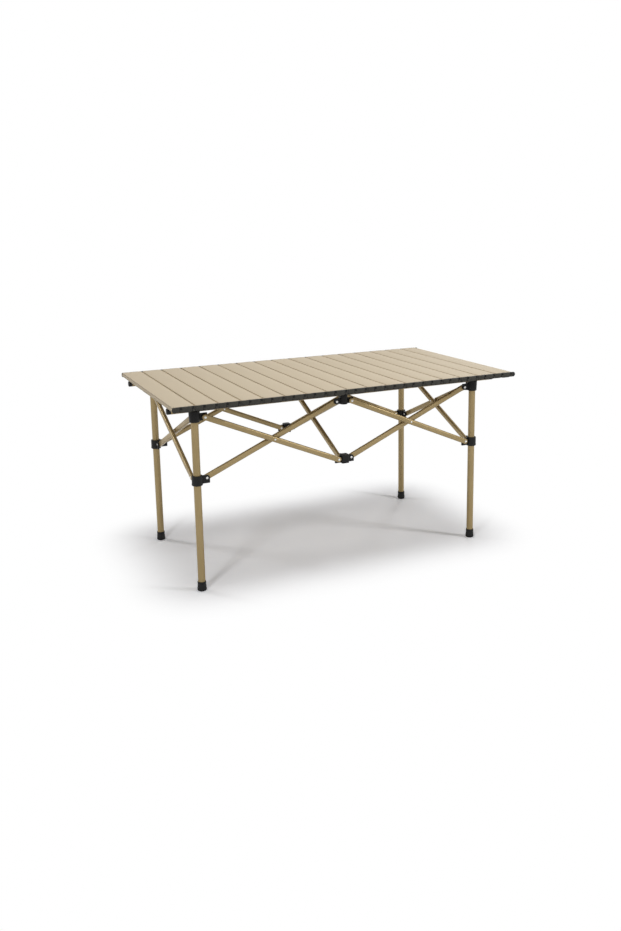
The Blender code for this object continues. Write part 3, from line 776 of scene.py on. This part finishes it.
def bar_stations():
    """Sections along a bar: place, half height, half thickness, and how oval it is there."""
    end = BAR_REACH / 2
    radius = BAR_HEIGHT / 2
    flat = BAR_THICKNESS / 2
    stations = []
    for i in range(BAR_STEPS + 1):
        turn = math.radians(BAR_END_TURN * (1 - i / BAR_STEPS))
        pinch = BAR_PINCH * (1 - math.cos(turn))
        stations.append((end + radius * math.sin(turn), radius * math.cos(turn), flat - pinch, 0))
    for i in range(BAR_STEPS + 1):
        blend = i / BAR_STEPS
        swell = blend * blend * (3 - 2 * blend)
        thick = flat + (BAR_BULGE / 2 - flat) * swell
        stations.append((end - BAR_FLAT - BAR_BLEND * blend, radius, thick, swell))
    return stations + [(-x, height, thick, swell) for x, height, thick, swell in reversed(stations)]


def bar_section(x, height, thick, swell):
    """Points round a bar: nearly a box where it is pressed flat, nearly an oval where not."""
    squareness = BAR_END_SQUARENESS + (BAR_MIDDLE_SQUARENESS - BAR_END_SQUARENESS) * swell
    points = []
    for i in range(BAR_SIDES):
        a = 2 * math.pi * (i + 0.5) / BAR_SIDES
        y, z = (
            math.copysign(abs(part) ** (2 / squareness), part) * half
            for part, half in ((math.sin(a), thick), (math.cos(a), height))
        )
        points.append((x, y, z))
    return points


def bar_mesh():
    """A scissor bar about its middle: an oval tube along X, pressed flat and rounded at its ends."""
    bm = bmesh.new()
    loops = [[bm.verts.new(point) for point in bar_section(*station)] for station in bar_stations()]
    for loop, after in zip(loops, loops[1:]):
        for i in range(BAR_SIDES):
            j = (i + 1) % BAR_SIDES
            bm.faces.new([loop[i], loop[j], after[j], after[i]])
    bm.faces.new(loops[0])
    bm.faces.new(loops[-1])
    bmesh.ops.recalc_face_normals(bm, faces=bm.faces)
    return as_mesh("bar", [bm])


class Kit:
    """The finishes and shared meshes of the frame."""

    coat = powder_coat(
        "frame_coating", dark=(163, 142, 100), light=(173, 152, 110), roughness=0.38, metallic=0.5
    )
    plastic = moulded_plastic("black_plastic", dark=(14, 14, 14), light=(22, 22, 21))
    steel = rivet_steel()
    bar = bar_mesh()
    crossing = crossing_rivet_mesh()
    leg = tube_mesh("leg", LEG_RADIUS, FOOT_FLOOR, LEG_TOP)
    foot = foot_mesh()


def place_bar(name, top, low, partner, riveted):
    """A bar between its pivots, with the other bar of its pair on the partner side."""
    x_axis = (low - top).normalized()
    z_axis = x_axis.cross(partner).normalized()
    turn = Matrix((x_axis, partner, z_axis)).transposed().to_4x4()
    place = Matrix.Translation((top + low) / 2) @ turn
    put(f"{name}_tube", Kit.bar, Kit.coat, name, place, name)
    if riveted:
        put(f"{name}_rivet", Kit.crossing, Kit.steel, name, place)


def place_bracket(node, body, shape, heads, place):
    """A bracket and the rivets in its lugs."""
    put(f"{node}_moulding", shape, Kit.plastic, body, place, node)
    put(f"{node}_rivets", heads, Kit.steel, body, place)


def build_long_side(turn, shapes):
    """One long side: brackets, two bays of crossed bars, legs, collars and feet."""
    side, near, far = ("front", "left", "right") if turn == FRONT else ("back", "right", "left")
    spin = turn.to_3x3()
    for end, sign, kind in ((near, -1, "left"), (far, 1, "right")):
        leg_pivot = sign * (LEG_X - LEG_LUG)
        centre_pivot = sign * CENTRE_LUG
        hung_from_centre = "inner" if sign < 0 else "outer"
        for which, offset in (("outer", -BAR_OFFSET), ("inner", BAR_OFFSET)):
            pivots = (centre_pivot, leg_pivot) if which == hung_from_centre else (leg_pivot, centre_pivot)
            top, low = (
                turn @ Vector((x, offset - LEG_Y, z)) for x, z in zip(pivots, (TOP_PIVOT, LOW_PIVOT))
            )
            partner = spin @ Vector((0, -math.copysign(1, offset), 0))
            place_bar(f"bar_{side}_{end}_{which}", top, low, partner, which == "outer")
        stand = turn @ Matrix.Translation((sign * LEG_X, -LEG_Y, 0))
        body = f"leg_{side}_{end}"
        put(f"{body}_tube", Kit.leg, Kit.coat, body, stand, body)
        foot = f"foot_{side}_{end}"
        put(f"{foot}_cap", Kit.foot, Kit.plastic, body, stand, foot)
        high = stand @ Matrix.Translation((0, 0, TOP_PIVOT))
        low = stand @ Matrix.Translation((0, 0, LOW_PIVOT))
        place_bracket(f"top_bracket_{side}_{end}", body, *shapes[f"top_{kind}"], high)
        place_bracket(f"collar_{side}_{end}", f"collar_{side}_{end}", *shapes[f"collar_{kind}"], low)
    top = turn @ Matrix.Translation((0, -LEG_Y, TOP_PIVOT))
    low = turn @ Matrix.Translation((0, -LEG_Y, LOW_PIVOT))
    place_bracket(f"top_centre_bracket_{side}", f"{side}_hub", *shapes["top_centre"], top)
    place_bracket(f"low_centre_bracket_{side}", f"low_centre_{side}", *shapes["low_centre"], low)


def build_cross_pair(names, turn, x):
    """A crossed pair of bars from front to back."""
    reach = LEG_Y - END_LUG
    for name, y_top, offset in ((names[0], -reach, BAR_OFFSET), (names[1], reach, -BAR_OFFSET)):
        top = turn @ Vector((x + offset, y_top, TOP_PIVOT))
        low = turn @ Vector((x + offset, -y_top, LOW_PIVOT))
        partner = turn.to_3x3() @ Vector((-math.copysign(1, offset), 0, 0))
        place_bar(name, top, low, partner, offset < 0)


def build_frame():
    """The scissor frame on its four legs."""
    right = (0, LEG_LUG)
    left = (180, LEG_LUG)
    across = (90, END_LUG)
    centre = [(180, CENTRE_LUG), (0, CENTRE_LUG), across]
    shapes = {}
    for kind, lugs in (("left", [right, across]), ("right", [left, across])):
        top = f"top_{kind}"
        collar = f"collar_{kind}"
        shapes[top] = (top_bracket_mesh(lugs, top), rivets_mesh(lugs, -1, "top_rivets"))
        shapes[collar] = (collar_mesh(lugs, collar), rivets_mesh(lugs, 1, "collar_rivets"))
    for name, top in (("top_centre", True), ("low_centre", False)):
        heads = rivets_mesh(centre, -1 if top else 1, "centre_rivets")
        shapes[name] = (centre_bracket_mesh(centre, top, name), heads)
    for turn in (FRONT, BACK):
        build_long_side(turn, shapes)
    build_cross_pair(("bar_left_end_inner", "bar_left_end_outer"), FRONT, -LEG_X)
    build_cross_pair(("bar_right_end_inner", "bar_right_end_outer"), BACK, -LEG_X)
    build_cross_pair(("bar_middle_right", "bar_middle_left"), FRONT, 0)


def build_top():
    """The slats with their chained end caps, and the rails with their plugs."""
    coat = powder_coat(
        "slat_coating",
        dark=(192, 176, 149),
        light=(201, 186, 160),
        roughness=0.58,
        metallic=0.0,
        stretch=(1, 0.15, 1),
    )
    # The caps' dark grey plastic, with near-black painted shade in their recesses behind the face
    dark_grey = cap_plastic(dark=(40, 39, 34), light=(62, 60, 53), recess_painted_shade=(8, 8, 8))
    slat = slat_mesh()
    caps = dict(zip(("front", "back"), cap_meshes()))
    for n in range(SLAT_COUNT):
        body = f"slat_{n + 1:02d}"
        place = Matrix.Translation((SLAT_LEFT + HINGE_INSET + n * SLAT_PITCH, 0, TOP_HEIGHT - HINGE_DROP))
        put(f"{body}_channel", slat, coat, body, place, body)
        for side, cap in caps.items():
            put(f"{body}_cap_{side}", cap, dark_grey, body, place)
    rail = tube_mesh("rail", RAIL_RADIUS, RAIL_CAP - RAIL_HALF, RAIL_HALF - RAIL_CAP, along_x)
    plug = rail_cap_mesh()
    for side, y in (("front", -LEG_Y), ("back", LEG_Y)):
        body = f"rail_{side}"
        middle = Matrix.Translation((0, y, RAIL_HEIGHT))
        put(f"{body}_tube", rail, Kit.coat, body, middle @ FRONT, body)
        for end, turn in (("left", FRONT), ("right", BACK)):
            place = middle @ turn @ Matrix.Translation((RAIL_CAP - RAIL_HALF, 0, 0))
            node = f"rail_cap_{side}_{end}"
            put(f"{node}_plug", plug, Kit.plastic, body, place, node)


def vector_step(tree, operation, source, amount=(0, 0, 0)):
    """A vector sum on a socket, with a fixed second vector, and its node."""
    step = tree.nodes.new("ShaderNodeVectorMath")
    step.operation = operation
    step.inputs[1].default_value = amount
    tree.links.new(source, step.inputs[0])
    return step


def larger(tree, first, second):
    """The larger of two sockets."""
    step = tree.nodes.new("ShaderNodeMath")
    step.operation = "MAXIMUM"
    tree.links.new(first, step.inputs[0])
    tree.links.new(second, step.inputs[1])
    return step.outputs["Value"]


def past_shadow(tree):
    """How far the floor has faded: 0 inside the shadow's box, 1 past its fade."""
    place = tree.nodes.new("ShaderNodeNewGeometry")
    offset = vector_step(tree, "SUBTRACT", place.outputs["Position"], SHADOW_MIDDLE)
    mirrored = vector_step(tree, "ABSOLUTE", offset.outputs["Vector"])
    past = vector_step(tree, "SUBTRACT", mirrored.outputs["Vector"], SHADOW_HALF)
    outside = vector_step(tree, "MAXIMUM", past.outputs["Vector"])
    distance = vector_step(tree, "LENGTH", outside.outputs["Vector"])
    fade = tree.nodes.new("ShaderNodeMapRange")
    fade.interpolation_type = "SMOOTHSTEP"
    fade.inputs["From Max"].default_value = SHADOW_FADE
    tree.links.new(distance.outputs["Value"], fade.inputs["Value"])
    return fade.outputs["Result"]


def floor_white():
    """White floor: its shadow near the table, pure white further out, plain to bounced light."""
    material = bpy.data.materials.new("floor_white")
    material.use_nodes = True
    tree = material.node_tree
    tree.nodes.clear()
    output = tree.nodes.new("ShaderNodeOutputMaterial")
    path = tree.nodes.new("ShaderNodeLightPath")
    seen = tree.nodes.new("ShaderNodeBsdfDiffuse")
    seen.inputs["Color"].default_value = FLOOR_SEEN
    bounced = tree.nodes.new("ShaderNodeBsdfDiffuse")
    bounced.inputs["Color"].default_value = FLOOR_BOUNCED
    white = tree.nodes.new("ShaderNodeEmission")
    white.inputs["Color"].default_value = WHITE
    shown = tree.nodes.new("ShaderNodeMixShader")
    mix = tree.nodes.new("ShaderNodeMixShader")
    looked_at = larger(tree, path.outputs["Is Camera Ray"], path.outputs["Is Glossy Ray"])
    tree.links.new(past_shadow(tree), shown.inputs["Fac"])
    tree.links.new(seen.outputs["BSDF"], shown.inputs[1])
    tree.links.new(white.outputs["Emission"], shown.inputs[2])
    tree.links.new(looked_at, mix.inputs["Fac"])
    tree.links.new(bounced.outputs["BSDF"], mix.inputs[1])
    tree.links.new(shown.outputs["Shader"], mix.inputs[2])
    tree.links.new(mix.outputs["Shader"], output.inputs["Surface"])
    return material


def build_floor():
    """A plain white floor."""
    bm = bmesh.new()
    bmesh.ops.create_grid(bm, x_segments=1, y_segments=1, size=FLOOR_HALF)
    floor = bpy.data.objects.new("floor", as_mesh("floor", [bm]))
    floor.location.z = -FLOOR_DROP
    bpy.context.scene.collection.objects.link(floor)
    floor.data.materials.append(floor_white())


def build_world():
    """Even white surroundings: white where they are seen or mirrored, dimmer as light."""
    world = bpy.data.worlds.new("studio")
    world.use_nodes = True
    tree = world.node_tree
    background = tree.nodes["Background"]
    background.inputs["Color"].default_value = WHITE
    path = tree.nodes.new("ShaderNodeLightPath")
    seen = larger(tree, path.outputs["Is Camera Ray"], path.outputs["Is Glossy Ray"])
    shown = larger(tree, seen, path.outputs["Is Transmission Ray"])
    level = tree.nodes.new("ShaderNodeMapRange")
    level.inputs["To Min"].default_value = WORLD_LEVEL
    level.inputs["To Max"].default_value = 1.0
    tree.links.new(shown, level.inputs["Value"])
    tree.links.new(level.outputs["Result"], background.inputs["Strength"])
    bpy.context.scene.world = world


def area_light(name, place, target, size, power):
    """A soft lamp aimed at a point."""
    data = bpy.data.lights.new(name, "AREA")
    data.shape = "RECTANGLE"
    data.size, data.size_y = size
    data.energy = power
    lamp = bpy.data.objects.new(name, data)
    lamp.location = place
    lamp.rotation_euler = (Vector(target) - Vector(place)).to_track_quat("-Z", "Y").to_euler()
    bpy.context.scene.collection.objects.link(lamp)


def build_camera():
    """The camera of the photograph."""
    width, height = IMAGE_SIZE
    data = bpy.data.cameras.new("camera")
    data.sensor_fit = "VERTICAL"
    data.sensor_height = SENSOR
    data.sensor_width = SENSOR
    data.lens = FOCAL_PX * SENSOR / height
    data.shift_x = (width / 2 - CENTRE_PX[0]) / height
    data.shift_y = (CENTRE_PX[1] - height / 2) / height
    ahead = Vector((math.sin(CAMERA_HEADING), math.cos(CAMERA_HEADING), 0))
    forward = math.cos(CAMERA_DOWN) * ahead - math.sin(CAMERA_DOWN) * Vector((0, 0, 1))
    level = Vector((math.cos(CAMERA_HEADING), -math.sin(CAMERA_HEADING), 0))
    right = math.cos(CAMERA_ROLL) * level + math.sin(CAMERA_ROLL) * level.cross(forward)
    up = right.cross(forward)
    aim = Matrix((right, up, -forward)).transposed().to_4x4()
    camera = bpy.data.objects.new("camera", data)
    camera.matrix_world = Matrix.Translation(CAMERA_PLACE) @ aim
    bpy.context.scene.collection.objects.link(camera)
    bpy.context.scene.camera = camera


build_camera()
build_frame()
build_top()
build_floor()
build_world()
area_light("overhead", OVERHEAD_PLACE, (0, 0, 0), OVERHEAD_SIZE, OVERHEAD_POWER)
for name, (place, power) in RING_LAMPS.items():
    area_light(name, place, RING_TARGET, RING_SIZE, power)
bpy.context.scene.view_settings.view_transform = "Standard"
